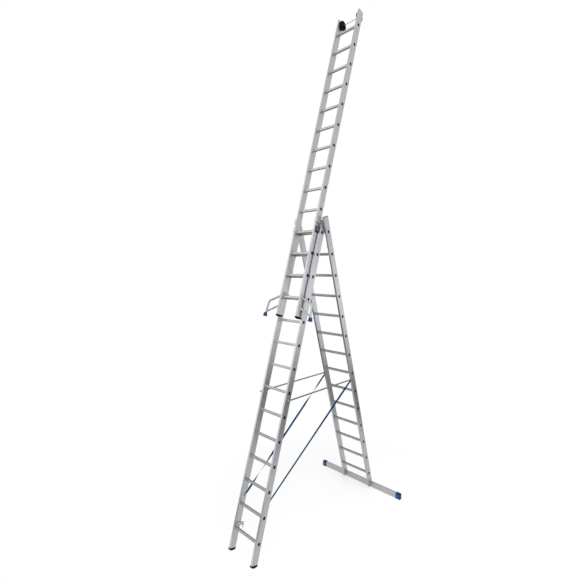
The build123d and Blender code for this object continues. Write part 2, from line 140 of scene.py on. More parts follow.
class Board:
    """The node tree of a material or of the world."""

    NOISE_ROUGHNESS = 0.55
    EDGE_SAMPLES = 4

    def __init__(self, owner: Any) -> None:
        """Empties the owner's tree.

        Args:
            owner: the material or the world.
        """
        owner.use_nodes = True
        self.owner = owner
        self.tree = owner.node_tree
        self.tree.nodes.clear()

    def add(self, kind: str, settings: dict[str, Any], inputs: dict[Any, Any]) -> bpy.types.Node:
        """Adds any node.

        Args:
            kind: the node's type.
            settings: its own settings, which are set first.
            inputs: values or wires by socket name or number.

        Returns:
            The new node.
        """
        node = self.tree.nodes.new(kind)
        for name, value in settings.items():
            setattr(node, name, value)
        for key, value in inputs.items():
            if isinstance(value, Wire):
                self.tree.links.new(value.socket, node.inputs[key])
            else:
                node.inputs[key].default_value = value
        return node

    def out(self, node: bpy.types.Node, name: Any) -> Wire:
        """A node's output as a wire."""
        return Wire(self, node.outputs[name])

    def math(self, operation: str, first: Any, second: Any) -> Wire:
        """A Math node on two values."""
        node = self.add("ShaderNodeMath", {"operation": operation}, {0: first, 1: second})
        return self.out(node, "Value")

    def mix(self, factor: Any, first: Any, second: Any) -> Wire:
        """A colour between two colours."""
        inputs = {0: factor, 6: rgba(first), 7: rgba(second)}
        return self.out(self.add("ShaderNodeMix", {"data_type": "RGBA"}, inputs), 2)

    def vector(self, operation: str, first: Any, second: Any, result: str = "Vector") -> Wire:
        """A Vector Math node on two vectors."""
        node = self.add("ShaderNodeVectorMath", {"operation": operation}, {0: first, 1: second})
        return self.out(node, result)

    def summed(self, base: float, masks: Sequence[Wire], shares: Sequence[float]) -> Wire:
        """A base value with a share of each mask added to it.

        Args:
            base: the value where every mask is 0.
            masks: the masks, from 0 to 1.
            shares: how much each of them adds.

        Returns:
            The sum.
        """
        total = base
        for mask, share in zip(masks, shares):
            total = total + mask * share
        return total

    def own(self) -> Wire:
        """The piece's own coordinates in metres."""
        return self.out(self.add("ShaderNodeTexCoord", {}, {}), "Object")

    def stretched(self, lean: float, scale: Sequence[float]) -> Wire:
        """The piece's own coordinates, turned to a section's lean and stretched.

        Args:
            lean: the section's lean in degrees, 90 for none.
            scale: factors across, to the rear and up the stile.

        Returns:
            The coordinates as a vector.
        """
        turn = (math.radians(UPRIGHT - lean), 0, 0)
        turned = self.add("ShaderNodeMapping", {}, {"Vector": self.own(), "Rotation": turn})
        return self.vector("MULTIPLY", self.out(turned, "Vector"), tuple(scale))

    def facing(self, lean: float) -> Wire:
        """How squarely a face looks to the front or the rear of its section.

        Args:
            lean: the section's lean in degrees.

        Returns:
            1 on the flanges' faces and 0 on the stiles' sides.
        """
        normal = self.out(self.add("ShaderNodeTexCoord", {}, {}), "Normal")
        rear = (0.0, math.sin(math.radians(lean)), -math.cos(math.radians(lean)))
        return self.math("ABSOLUTE", self.vector("DOT_PRODUCT", normal, rear, "Value"), 0.0)

    def noise(self, where: Wire, scale: float, detail: float) -> Wire:
        """Soft noise between 0 and 1."""
        inputs = {"Vector": where, "Scale": scale, "Detail": detail, "Roughness": self.NOISE_ROUGHNESS}
        return self.out(self.add("ShaderNodeTexNoise", {}, inputs), 0)

    def edge(self, radius: float, gain: float) -> Wire:
        """A mask that is 1 along sharp edges.

        Args:
            radius: how far the mask reaches from an edge, in metres.
            gain: how fast it rises.

        Returns:
            The mask.
        """
        bevel = self.add("ShaderNodeBevel", {"samples": self.EDGE_SAMPLES}, {"Radius": radius})
        rounded = self.out(bevel, "Normal")
        flat = self.out(self.add("ShaderNodeNewGeometry", {}, {}), "Normal")
        turn = 1.0 - self.vector("DOT_PRODUCT", rounded, flat, "Value")
        return turn.between(0.0, 1.0 / gain)

    def finish(self, look: dict[str, Any], height: Wire, depth: float) -> bpy.types.Material:
        """Joins colour, roughness and bump to a surface.

        Args:
            look: the shader's sockets by name.
            height: bump height between 0 and 1.
            depth: height of the bump in metres.

        Returns:
            The finished material.
        """
        bump = self.add("ShaderNodeBump", {}, {"Height": height, "Distance": depth, "Strength": 1.0})
        shader = self.add("ShaderNodeBsdfPrincipled", {}, {**look, "Normal": self.out(bump, "Normal")})
        self.add("ShaderNodeOutputMaterial", {}, {"Surface": self.out(shader, "BSDF")})
        return self.owner


def rgba(colour: Any) -> Any:
    """A colour with alpha, or the wire as it is."""
    return colour if isinstance(colour, Wire) else (*colour, 1.0)


def shaded(colour: Colour, share: float) -> Colour:
    """A colour made darker or lighter."""
    return tuple(min(1.0, part * share) for part in colour)


@dataclass(frozen=True)
class Layer:
    """A darker or lighter tone of a finish's own colour, laid on where a mask says."""

    share: float
    tone: float

    def over(self, under: Wire, mask: Wire, colour: Colour) -> Wire:
        """The layer on another colour."""
        return under.board.mix(mask * self.share, under, shaded(colour, self.tone))


@dataclass(frozen=True)
class Grain:
    """Noise drawn out along a profile, by its scale across and along."""

    across: float
    run: float
    detail: float

    def on(self, board: Board, lean: float, along: Sequence[int]) -> Wire:
        """The noise on a profile.

        Args:
            board: the material's tree.
            lean: the profile's lean in degrees.
            along: the axis that the profile runs along, with 1 for that axis and 0 for the others.

        Returns:
            The noise, between 0 and 1.
        """
        scale = [self.across + (self.run - self.across) * part for part in along]
        return board.noise(board.stretched(lean, scale), 1.0, self.detail)


@dataclass(frozen=True)
class Aluminium:
    """Satin extruded aluminium with die lines along the profile, clouding, scuffs and rubbed edges, and a
    painted highlight that makes the flanges' faces lighter.
    """

    name: str
    colour: Colour
    lean: float
    along: tuple[int, int, int]
    metal: float = 0.88
    rough: float = 0.30
    # how much lighter the flanges' faces are painted: a painted highlight
    flange_painted_light: float = 1.0

    LINES = Grain(across=700.0, run=6.0, detail=4.0)
    BROAD = Grain(across=90.0, run=2.0, detail=2.0)
    SCUFFS = Grain(across=34.0, run=9.0, detail=6.0)
    SCUFF_BAND = (0.55, 0.72)
    CLOUD = {"scale": 6.0, "detail": 4.0}
    EDGE = {"radius": 0.0012, "gain": 2.4}
    # of the broad streaks and of the fine lines
    STREAK_SHARES = (0.6, 0.4)
    STREAK_TONES = (0.84, 1.04)
    CLOUDED = Layer(share=0.4, tone=1.12)
    SCUFFED = Layer(share=0.2, tone=0.7)
    RUBBED = Layer(share=0.3, tone=1.12)
    FLANGE_LIGHT_BAND = (0.90, 0.97)
    ROUGH_DROP = 0.1
    # of the lines, the clouds, the scuffs and the edges
    ROUGH_SHARES = (0.12, 0.1, 0.1, -0.08)
    LINE_DEPTH = 0.00006

    def paint(self) -> bpy.types.Material:
        """Makes the finish.

        Returns:
            The material.
        """
        board = Board(bpy.data.materials.new(self.name))
        grains = (self.LINES, self.BROAD, self.SCUFFS)
        lines, broad, scuffs = (grain.on(board, self.lean, self.along) for grain in grains)
        scuff = scuffs.between(*self.SCUFF_BAND)
        cloud = board.noise(board.own(), **self.CLOUD)
        edge = board.edge(**self.EDGE)
        dark, light = (shaded(self.colour, tone) for tone in self.STREAK_TONES)
        streak = board.mix(board.summed(0.0, (broad, lines), self.STREAK_SHARES), dark, light)
        worn = self.SCUFFED.over(self.CLOUDED.over(streak, cloud, self.colour), scuff, self.colour)
        # painted highlight: a lighter copy of the colour on the flanges' front and rear faces
        flange_painted_light = board.vector("MULTIPLY", worn, (self.flange_painted_light,) * 3)
        flange_lit_colour = board.mix(board.facing(self.lean).between(*self.FLANGE_LIGHT_BAND), worn, flange_painted_light)
        masks = (lines, cloud, scuff, edge)
        look = {
            "Base Color": self.RUBBED.over(flange_lit_colour, edge, self.colour),
            "Roughness": board.summed(self.rough - self.ROUGH_DROP, masks, self.ROUGH_SHARES),
            "Metallic": self.metal,
        }
        return board.finish(look, lines, self.LINE_DEPTH)


@dataclass(frozen=True)
class Moulded:
    """Moulded plastic or rubber: a fine pebbled skin, uneven gloss, some dust and paler rubbed edges."""

    name: str
    colour: Colour
    rubbed: Colour
    rough: float = 0.55
    shine: float = 0.35
    dust: float = 0.10

    SKIN = {"scale": 900.0, "detail": 2.0}
    CLOUD = {"scale": 35.0, "detail": 4.0}
    SPECKS = {"scale": 120.0, "detail": 5.0}
    DUST_BAND = (0.52, 0.70)
    DUST_COLOUR = (0.28, 0.275, 0.26)
    EDGE = {"radius": 0.0016, "gain": 2.0}
    EDGE_SHARE = 0.5
    CLOUD_SHARE = 0.5
    CLOUD_TONES = (0.75, 1.1)
    ROUGH_DROP = 0.08
    # of the skin, the clouds and the edges
    ROUGH_SHARES = (0.1, 0.08, -0.1)
    SKIN_DEPTH = 0.00012

    def paint(self) -> bpy.types.Material:
        """Makes the finish.

        Returns:
            The material.
        """
        board = Board(bpy.data.materials.new(self.name))
        noises = (self.SKIN, self.CLOUD, self.SPECKS)
        skin, cloud, specks = (board.noise(board.own(), **noise) for noise in noises)
        edge = board.edge(**self.EDGE)
        dark, light = (shaded(self.colour, tone) for tone in self.CLOUD_TONES)
        clouded = board.mix(cloud * self.CLOUD_SHARE, dark, light)
        dusted = board.mix(specks.between(*self.DUST_BAND) * self.dust, clouded, self.DUST_COLOUR)
        look = {
            "Base Color": board.mix(edge * self.EDGE_SHARE, dusted, self.rubbed),
            "Roughness": board.summed(self.rough - self.ROUGH_DROP, (skin, cloud, edge), self.ROUGH_SHARES),
            "Specular IOR Level": self.shine,
        }
        return board.finish(look, skin, self.SKIN_DEPTH)


@dataclass(frozen=True)
class ZincSteel:
    """Zinc-plated steel with a faint crystalline bloom."""

    name: str
    colour: Colour
    rough: float = 0.36

    METAL = 0.8
    CRYSTAL = 260.0
    CLOUD = {"scale": 60.0, "detail": 4.0}
    EDGE = {"radius": 0.0008, "gain": 2.0}
    # of the crystals and of the clouds
    BLOOM_SHARES = (0.5, 0.4)
    BLOOM_TONE = 0.78
    RUBBED = Layer(share=0.5, tone=1.2)
    ROUGH_DROP = 0.06
    # of the clouds and of the edges
    ROUGH_SHARES = (0.16, -0.06)
    BLOOM_DEPTH = 0.00004

    def paint(self) -> bpy.types.Material:
        """Makes the finish.

        Returns:
            The material.
        """
        board = Board(bpy.data.materials.new(self.name))
        cells = board.add("ShaderNodeTexVoronoi", {}, {"Vector": board.own(), "Scale": self.CRYSTAL})
        cloud = board.noise(board.own(), **self.CLOUD)
        edge = board.edge(**self.EDGE)
        bloom = board.summed(0.0, (board.out(cells, "Distance"), cloud), self.BLOOM_SHARES)
        bloomed = board.mix(bloom, shaded(self.colour, self.BLOOM_TONE), self.colour)
        look = {
            "Base Color": self.RUBBED.over(bloomed, edge, self.colour),
            "Roughness": board.summed(self.rough - self.ROUGH_DROP, (cloud, edge), self.ROUGH_SHARES),
            "Metallic": self.METAL,
        }
        return board.finish(look, cloud, self.BLOOM_DEPTH)


@dataclass(frozen=True)
class Webbing:
    """Woven webbing: ribs across the band, twill between them, a darker selvedge and pale stitches.

    Its map holds the place across the band, from 0 to 1, and the way from the nearer end in metres.
    """

    name: str
    colour: Colour
    shade: Colour

    THREAD = (0.16, 0.22, 0.30)
    # wave numbers across the band and along it
    RIBS = (14.0, 2600.0)
    TWILL = (82.0, 1300.0)
    WEAVE_SHARES = (0.55, 0.45)
    SELVEDGE_BAND = (0.84, 0.95)
    SELVEDGE_SHARE = 0.5
    ROWS = 38.0
    ROW_BAND = (0.90, 0.97)
    STITCHES = 1600.0
    STITCH_BAND = (0.3, 0.5)
    SEWN_BAND = (0.058, 0.062)
    FUZZ = {"scale": 420.0, "detail": 4.0}
    FADING = {"scale": 9.0, "detail": 3.0}
    FADED = Layer(share=0.25, tone=1.6)
    ROUGH = 0.72
    FUZZ_ROUGH = 0.2
    SHINE = 0.04
    SHEEN = 0.02
    SHEEN_ROUGH = 0.5
    # of the weave, the fuzz and the stitches
    HEIGHT_SHARES = (0.6, 0.2, 0.2)
    WEAVE_DEPTH = 0.00035

    def paint(self) -> bpy.types.Material:
        """Makes the finish.

        Returns:
            The material.
        """
        board = Board(bpy.data.materials.new(self.name))
        lie = board.out(board.add("ShaderNodeUVMap", {"uv_map": "lie"}, {}), "UV")
        parts = board.add("ShaderNodeSeparateXYZ", {}, {"Vector": lie})
        across, along = board.out(parts, "X"), board.out(parts, "Y")
        threads = [(along * run + across * wide).wave() for wide, run in (self.RIBS, self.TWILL)]
        weave = board.summed(0.0, threads, self.WEAVE_SHARES)
        selvedge = (board.math("ABSOLUTE", across - 0.5, 0.0) * 2.0).between(*self.SELVEDGE_BAND)
        rows = (across * self.ROWS).wave().between(*self.ROW_BAND)
        dashes = (along * self.STITCHES).wave().between(*self.STITCH_BAND)
        stitch = rows * dashes * (1.0 - along.between(*self.SEWN_BAND))
        fuzz, fading = (board.noise(board.own(), **noise) for noise in (self.FUZZ, self.FADING))
        cloth = self.FADED.over(board.mix(weave, self.shade, self.colour), fading, self.colour)
        bordered = board.mix(selvedge * self.SELVEDGE_SHARE, cloth, self.shade)
        look = {
            "Base Color": board.mix(stitch, bordered, self.THREAD),
            "Roughness": self.ROUGH + fuzz * self.FUZZ_ROUGH,
            "Specular IOR Level": self.SHINE,
            "Sheen Weight": self.SHEEN,
            "Sheen Roughness": self.SHEEN_ROUGH,
        }
        height = board.summed(0.0, (weave, fuzz, stitch), self.HEIGHT_SHARES)
        return board.finish(look, height, self.WEAVE_DEPTH)


UP_STILE = (0, 0, 1)
ACROSS = (1, 0, 0)
TO_REAR = (0, 1, 0)
STILE_GREY = (0.445, 0.447, 0.468)


class Coat(Enum):
    """Every finish on the ladder."""

    # the front stiles' flanges and the beam's front and rear faces get a painted highlight
    FRONT_STILE = Aluminium("front_stile_satin", STILE_GREY, LEAN, UP_STILE, flange_painted_light=1.45)
    REAR_STILE = Aluminium("rear_stile_satin", STILE_GREY, 180 - LEAN, UP_STILE)
    UPPER_STILE = Aluminium("upper_stile_satin", (0.45, 0.45, 0.472), LEAN, UP_STILE)
    RUNG = Aluminium("rung_satin", (0.63, 0.625, 0.605), UPRIGHT, ACROSS, rough=0.32)
    # painted shade: darker copies of the rung colour for the rungs' top faces and undersides
    TREAD_PAINTED_SHADE = Aluminium("tread_painted_shade", (0.28, 0.276, 0.266), UPRIGHT, ACROSS, rough=0.52)
    UNDERSIDE_PAINTED_SHADE = Aluminium("underside_painted_shade", (0.42, 0.415, 0.40), UPRIGHT, ACROSS, rough=0.48)
    BEAM = Aluminium("beam_satin", (0.385, 0.385, 0.41), UPRIGHT, ACROSS, rough=0.40, flange_painted_light=1.2)
    BAR = Aluminium("bar_satin", (0.40, 0.405, 0.415), UPRIGHT, TO_REAR)
    TUBE = Aluminium("tube_satin", (0.48, 0.485, 0.49), UPRIGHT, ACROSS, rough=0.44)
    BLACK = Moulded("black_plastic", (0.006, 0.006, 0.008), (0.016, 0.016, 0.018), shine=0.08, dust=0.02)
    DARK = Moulded("dark_plastic", (0.055, 0.055, 0.058), (0.13, 0.13, 0.135))
    GREY = Moulded("grey_plastic", (0.22, 0.225, 0.23), (0.34, 0.345, 0.35))
    NAVY = Moulded("navy_plastic", (0.004, 0.032, 0.088), (0.014, 0.08, 0.20), shine=0.15, dust=0.03)
    BLUE = Moulded("blue_plastic", (0.022, 0.130, 0.34), (0.05, 0.22, 0.48), shine=0.15, dust=0.03)
    PAD = Moulded("pad_plastic", (0.004, 0.078, 0.19), (0.012, 0.14, 0.30), shine=0.12, dust=0.03)
    RUBBER = Moulded(
        "black_rubber", (0.005, 0.005, 0.008), (0.015, 0.015, 0.019), rough=0.7, shine=0.06, dust=0.03
    )
    ZINC = ZincSteel("zinc_steel", (0.44, 0.445, 0.45))
    BRACKET = ZincSteel("bracket_steel", (0.54, 0.545, 0.55), rough=0.42)
    WEBBING = Webbing("blue_webbing", (0.002, 0.055, 0.140), (0.001, 0.026, 0.070))


class Paintbox:
    """The finishes, each made into a material once."""

    def __init__(self) -> None:
        """Makes every material."""
        self.made = {coat: coat.value.paint() for coat in Coat}

    def coat(self, obj: bpy.types.Object, *coats: Coat) -> None:
        """Gives an object its finishes.

        Args:
            obj: the piece.
            coats: its finishes, in the order of the numbers that its faces have.
        """
        if obj.data.materials:
            obj.data.materials.clear()
        for coat in coats:
            obj.data.materials.append(self.made[coat])


@dataclass(frozen=True)
class Section:
    """A ladder section's own frame: x across, r to the rear and s up the stiles, in metres."""

    base: Vector
    lean: float
    width: float

    STILE = 0.025
    DEPTH = 0.088
    PITCH = 0.28
    COUNT = 14

    @property
    def up(self) -> Vector:
        """Direction up the stiles."""
        return Vector((0, math.cos(math.radians(self.lean)), math.sin(math.radians(self.lean))))

    @property
    def rear(self) -> Vector:
        """Direction square to the section, to the rear."""
        return Vector((0, math.sin(math.radians(self.lean)), -math.cos(math.radians(self.lean))))

    @property
    def outer(self) -> float:
        """Distance from the middle to a stile's outer face."""
        return self.width / 2

    @property
    def inner(self) -> float:
        """Distance from the middle to a stile's inner face."""
        return self.width / 2 - self.STILE

    @property
    def matrix(self) -> Matrix:
        """From the section's coordinates to the ladder's."""
        turn = Matrix((X_AXIS, self.rear, self.up)).transposed().to_4x4()
        return Matrix.Translation(self.base) @ turn

    def at(self, x: float, r: float, s: float) -> Vector:
        """A point given in the section's coordinates."""
        return self.matrix @ Vector((x, r, s))


class Stance:
    """The three sections, placed from the main hinge's joint."""

    HALF_SPACING = 0.0315
    FRONT_HINGE = 3.696
    REAR_HINGE = 3.684
    RAISED = 2.8
    FRONT_WIDTH = 0.412
    REAR_WIDTH = 0.472
    UPPER_WIDTH = 0.342

    def __init__(self) -> None:
        """Works out where each section's lowest rung lies."""
        joint = next(joint for joint in frame["joints"] if joint["name"] == "spread")
        self.hinge = Vector(joint["pos_m"])
        self.front = self._hung(self.HALF_SPACING, self.FRONT_HINGE, LEAN, self.FRONT_WIDTH)
        self.rear = self._hung(-self.HALF_SPACING, self.REAR_HINGE, 180 - LEAN, self.REAR_WIDTH)
        base = self.front.at(0, -2 * self.HALF_SPACING, self.RAISED)
        self.upper = Section(base, LEAN, self.UPPER_WIDTH)

    def _hung(self, r: float, s: float, lean: float, width: float) -> Section:
        """The section whose point r, s lies on the hinge."""
        loose = Section(Vector(), lean, width)
        return Section(self.hinge - loose.rear * r - loose.up * s, lean, width)

    def named(self) -> dict[str, Section]:
        """The sections by the first word of their nodes."""
        return {"front": self.front, "rear": self.rear, "upper": self.upper}


class Carver:
    """Collects the faces of one piece."""

    def __init__(self, matrix: Matrix | None = None) -> None:
        """Starts an empty mesh.

        Args:
            matrix: what its points go through, from the piece's coordinates to the ladder's.
        """
        self.mesh = bmesh.new()
        self.matrix = matrix or Matrix.Identity(4)
        self.lie = self.mesh.loops.layers.uv.new("lie")

    def loft(self, rings: Sequence[Sequence[Vector]], closed: bool = False) -> list[list[Any]]:
        """Skins a row of rings.

        Args:
            rings: rings of points, each with the same count.
            closed: whether the last ring joins the first; otherwise both are filled.

        Returns:
            The new vertices, ring by ring.
        """
        rows = [[self.mesh.verts.new(self.matrix @ point) for point in ring] for ring in rings]
        pairs = list(zip(rows, rows[1:])) + ([(rows[-1], rows[0])] if closed else [])
        for low, high in pairs:
            for index in range(len(low)):
                after = (index + 1) % len(low)
                self.mesh.faces.new((low[index], low[after], high[after], high[index]))
        if not closed:
            self.mesh.faces.new(rows[0][::-1])
            self.mesh.faces.new(rows[-1])
        return rows

    def turned(self, centre: Vector, axis: Vector, profile: Sequence[Point2], sides: int) -> None:
        """Turns a profile about an axis.

        Args:
            centre: a point on the axis.
            axis: the axis direction, of length 1.
            profile: steps of height along the axis and radius.
            sides: flats round the axis.
        """
        first = axis.orthogonal().normalized()
        second = axis.cross(first)
        angles = [2 * math.pi * number / sides for number in range(sides)]
        around = [first * math.cos(angle) + second * math.sin(angle) for angle in angles]
        rings = [[centre + axis * height + way * radius for way in around] for height, radius in profile]
        self.loft(rings)

    def done(self, name: str, smooth: float) -> bpy.types.Object:
        """Makes the object.

        Args:
            name: the piece's name.
            smooth: faces that meet under this angle, in degrees, are shaded smoothly.

        Returns:
            The object, linked to the scene.
        """
        bmesh.ops.recalc_face_normals(self.mesh, faces=self.mesh.faces)
        limit = math.radians(smooth)
        for face in self.mesh.faces:
            face.smooth = True
        for edge in self.mesh.edges:
            edge.smooth = len(edge.link_faces) == 2 and edge.calc_face_angle(math.pi) < limit
        data = bpy.data.meshes.new(name)
        self.mesh.to_mesh(data)
        self.mesh.free()
        obj = bpy.data.objects.new(name, data)
        bpy.context.scene.collection.objects.link(obj)
        return obj


def soft_rectangle(half_x: float, half_y: float, radius: float, steps: int) -> list[Point2]:
    """A rectangle's outline with rounded corners.

    Args:
        half_x: half of its width.
        half_y: half of its height.
        radius: corner radius.
        steps: points on each corner, less one.

    Returns:
        The outline's points, anticlockwise.
    """
    points = []
    for quarter, (sign_x, sign_y) in enumerate(((1, 1), (-1, 1), (-1, -1), (1, -1))):
        for step in range(steps + 1):
            angle = math.pi / 2 * (quarter + step / steps)
            x = sign_x * (half_x - radius) + radius * math.cos(angle)
            y = sign_y * (half_y - radius) + radius * math.sin(angle)
            points.append((x, y))
    return points


def spun(x: float, y: float, angle: float) -> Point2:
    """A point turned about the origin."""
    return (x * math.cos(angle) - y * math.sin(angle), x * math.sin(angle) + y * math.cos(angle))


def smooth_line(route: Sequence[Vector], steps: int) -> list[Vector]:
    """Points read from one smooth curve.

    Args:
        route: the curve's control points.
        steps: points for each stretch of the curve.

    Returns:
        The points along the curve, from the route's first to its last.
    """
    data = bpy.data.curves.new("route", "CURVE")
    data.dimensions = "3D"
    data.resolution_u = steps
    spline = data.splines.new("NURBS")
    spline.points.add(len(route) - 1)
    for knot, point in zip(spline.points, route):
        knot.co = (*point, 1.0)
    spline.order_u = 3
    spline.use_endpoint_u = True
    holder = bpy.data.objects.new("route", data)
    mesh = bpy.data.meshes.new_from_object(holder)
    line = [vertex.co.copy() for vertex in mesh.vertices]
    bpy.data.objects.remove(holder)
    bpy.data.meshes.remove(mesh)
    bpy.data.curves.remove(data)
    return line


def settle(obj: bpy.types.Object, body: str, slot: str, *nodes: str) -> None:
    """Puts a finished piece on its body.

    Args:
        obj: the piece.
        body: the body that carries it.
        slot: the record's material slot, which is not used.
        nodes: CAD nodes that the piece stands for.
    """
    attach(obj, body)
    if nodes:
        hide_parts(*nodes)
    LOG.info("%s on %s, %d faces", obj.name, body, len(obj.data.polygons))


@dataclass
class RungSet:
    """A section's rungs with fluted treads and rolled collars, and the plugs in their ends."""

    name: str
    section: Section
    size: float = 0.030
    corner: float = 0.006
    flutes: int = 5
    flute_depth: float = 0.0011
    tread_turn: float = 0.55
    root: float = 0.004
    collar: float = 0.0024
    collar_length: float = 0.004
    plug_length: float = 0.0365
    plug_width: float = 0.0315
    plug_corner: float = 0.011
    plug_height: float = 0.0022

    CORNER_STEPS = 4
    # share of the collar's length
    COLLAR_FLAT = 0.6
    # place in a flute and share of its depth
    FLUTE = ((0.12, 0.0), (0.3, 0.85), (0.5, 1.0), (0.7, 0.85), (0.88, 0.0))
    # share of a plug's height and inset
    PLUG_STEPS = ((0.0, 0.0), (0.5, 0.0), (0.85, 0.0012), (1.0, 0.0032), (1.0, 0.0062), (0.6, 0.0072))

    def _profile(self, grow: float) -> list[Point2]:
        """The rung's outline in r and s: a rounded square whose four faces are fluted.

        Args:
            grow: how far the outline stands out from the rung's own, which also fills the flutes.

        Returns:
            The outline's points.
        """
        half = self.size / 2
        depth = 0.0 if grow else self.flute_depth
        flat = half - self.corner
        pitch = 2 * flat / self.flutes
        reach = self.corner + grow
        points = []
        for quarter in range(4):
            turn = math.pi / 2 * quarter
            for flute in range(self.flutes):
                for part, sink in self.FLUTE:
                    points.append(spun(half + grow - depth * sink, (flute + part) * pitch - flat, turn))
            for step in range(1, self.CORNER_STEPS):
                angle = math.pi / 2 * step / self.CORNER_STEPS
                points.append(spun(flat + reach * math.cos(angle), flat + reach * math.sin(angle), turn))
        return points

    def build_rungs(self, paint: Paintbox) -> None:
        """Makes all rungs of the section as one piece.

        Args:
            paint: the finishes.
        """
        carver = Carver(self.section.matrix)
        wall, reach = self.section.inner, self.collar_length
        stations = [(-wall - self.root, 0.0), (-wall, 0.0), (-wall, self.collar)]
        stations += [(-wall + reach * self.COLLAR_FLAT, self.collar), (-wall + reach, 0.0)]
        stations += [(-x, grow) for x, grow in reversed(stations)]
        for number in range(Section.COUNT):
            s = number * Section.PITCH
            rings = [[Vector((x, r, s + up)) for r, up in self._profile(grow)] for x, grow in stations]
            carver.loft(rings)
        carver.mesh.normal_update()
        # painted shade: faces that look up get the darker tread copy and faces that look down the darker
        # underside copy
        for face in carver.mesh.faces:
            rise = face.normal.dot(self.section.up)
            face.material_index = int(rise > self.tread_turn) + 2 * int(rise < -self.tread_turn)
        obj = carver.done(f"{self.name}_fluted_rungs", smooth=25)
        paint.coat(obj, Coat.RUNG, Coat.TREAD_PAINTED_SHADE, Coat.UNDERSIDE_PAINTED_SHADE)
        settle(obj, f"{self.name}_section", "rung_aluminium", f"{self.name}_rungs")

    def build_plugs(self, paint: Paintbox) -> None:
        """Makes the dished plugs on both outer faces as one piece.

        Args:
            paint: the finishes.
        """
        carver = Carver(self.section.matrix)
        half_r, half_s = self.plug_width / 2, self.plug_length / 2
        for side in Side:
            for number in range(Section.COUNT):
                rings = []
                for height, inset in self.PLUG_STEPS:
                    x = side.value * (self.section.outer + self.plug_height * height)
                    corner = self.plug_corner - inset
                    outline = soft_rectangle(half_r - inset, half_s - inset, corner, steps=5)
                    rings.append([Vector((x, r, number * Section.PITCH + s)) for r, s in outline])
                carver.loft(rings)
        obj = carver.done(f"{self.name}_end_plugs", smooth=35)
        paint.coat(obj, Coat.BLACK)
        settle(obj, f"{self.name}_section", "black_plastic", f"{self.name}_rung_plugs")


@dataclass
class Strap:
    """A taut webbing strap with a turn in it, sewn back on itself at both clamps."""

    side: Side
    stance: Stance
    turns: Sequence[Point2]
    width: float = 0.025
    thickness: float = 0.0018
    steps: int = 60
    front_s: float = 0.385
    front_r: float = 0.016
    rear_s: float = 1.590
    clamp: float = 0.006
    clamp_half: float = 0.0145
    fold: float = 0.07
    straight: float = 0.15

    # share of the thickness
    BEVEL = 0.4
    # place across the band of each point round it
    ACROSS = (1.0, 1.0, 0.97, 0.03, 0.0, 0.0, 0.03, 0.97)

    def route(self) -> list[Vector]:
        """Where the strap runs.

        Returns:
            Its control points, from the lower clamp to the upper one.
        """
        sign = self.side.value
        front, rear = self.stance.front, self.stance.rear
        clamp = front.at(sign * (front.inner - self.clamp / 2), self.front_r, self.front_s)
        middle, face = rear.outer - Section.STILE / 2, -Section.DEPTH / 2
        high = rear.at(sign * middle, face - self.clamp, self.rear_s)
        along = (high - clamp).normalized()
        low = clamp + along * self.clamp_half
        straight = along * self.straight
        return [low, low + straight, high - straight, high]

    def _turn(self, share: float) -> float:
        """The band's twist.

        Args:
            share: the place along the band, from 0 to 1.

        Returns:
            The twist in radians.
        """
        for (start, low), (end, high) in zip(self.turns, self.turns[1:]):
            if share <= end:
                part = (share - start) / (end - start)
                return math.radians(low + (high - low) * part * part * (3 - 2 * part))
        return math.radians(self.turns[-1][1])

    def _ring(self, middle: Vector, along: Vector, turn: float, thick: float) -> list[Vector]:
        """The band's cross-section at one place.

        Args:
            middle: its middle.
            along: the band's direction there.
            turn: its twist in radians.
            thick: its thickness.

        Returns:
            The points round the band.
        """
        flat = along.cross(X_AXIS).normalized()
        face = along.cross(flat).normalized()
        broad = flat * math.cos(turn) + face * math.sin(turn)
        out = broad.cross(along).normalized()
        half, lift, bevel = self.width / 2, thick / 2, self.thickness * self.BEVEL
        outline = [(half, -lift + bevel), (half, lift - bevel), (half - bevel, lift), (-half + bevel, lift)]
        outline += [(-x, -y) for x, y in outline]
        return [middle + broad * x + out * y for x, y in outline]

    def build(self, paint: Paintbox) -> None:
        """Makes the band between both sections.

        Args:
            paint: the finishes.
        """
        line = smooth_line(self.route(), self.steps)
        low, high = line[0], line[-1]
        length = sum((after - point).length for point, after in zip(line, line[1:]))
        along = (high - low).normalized()
        gone = [(point - low).length for point in line]
        near = [min(way, length - way) for way in gone]
        carver = Carver()
        rings = []
        for point, way, end in zip(line, gone, near):
            layers = 2 if end < self.fold else 1
            rings.append(self._ring(point, along, self._turn(way / length), self.thickness * layers))
        rows = carver.loft(rings)
        place = {vert: (x, end) for row, end in zip(rows, near) for vert, x in zip(row, self.ACROSS)}
        for face in carver.mesh.faces:
            for loop in face.loops:
                loop[carver.lie].uv = place[loop.vert]
        band = carver.done(f"webbing_strap_{self.side.word}", smooth=50)
        paint.coat(band, Coat.WEBBING)
        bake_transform(band)
        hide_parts(f"strap_{self.side.word}")
        LOG.info("%s from the front to the rear section, %.3f m long", band.name, length)


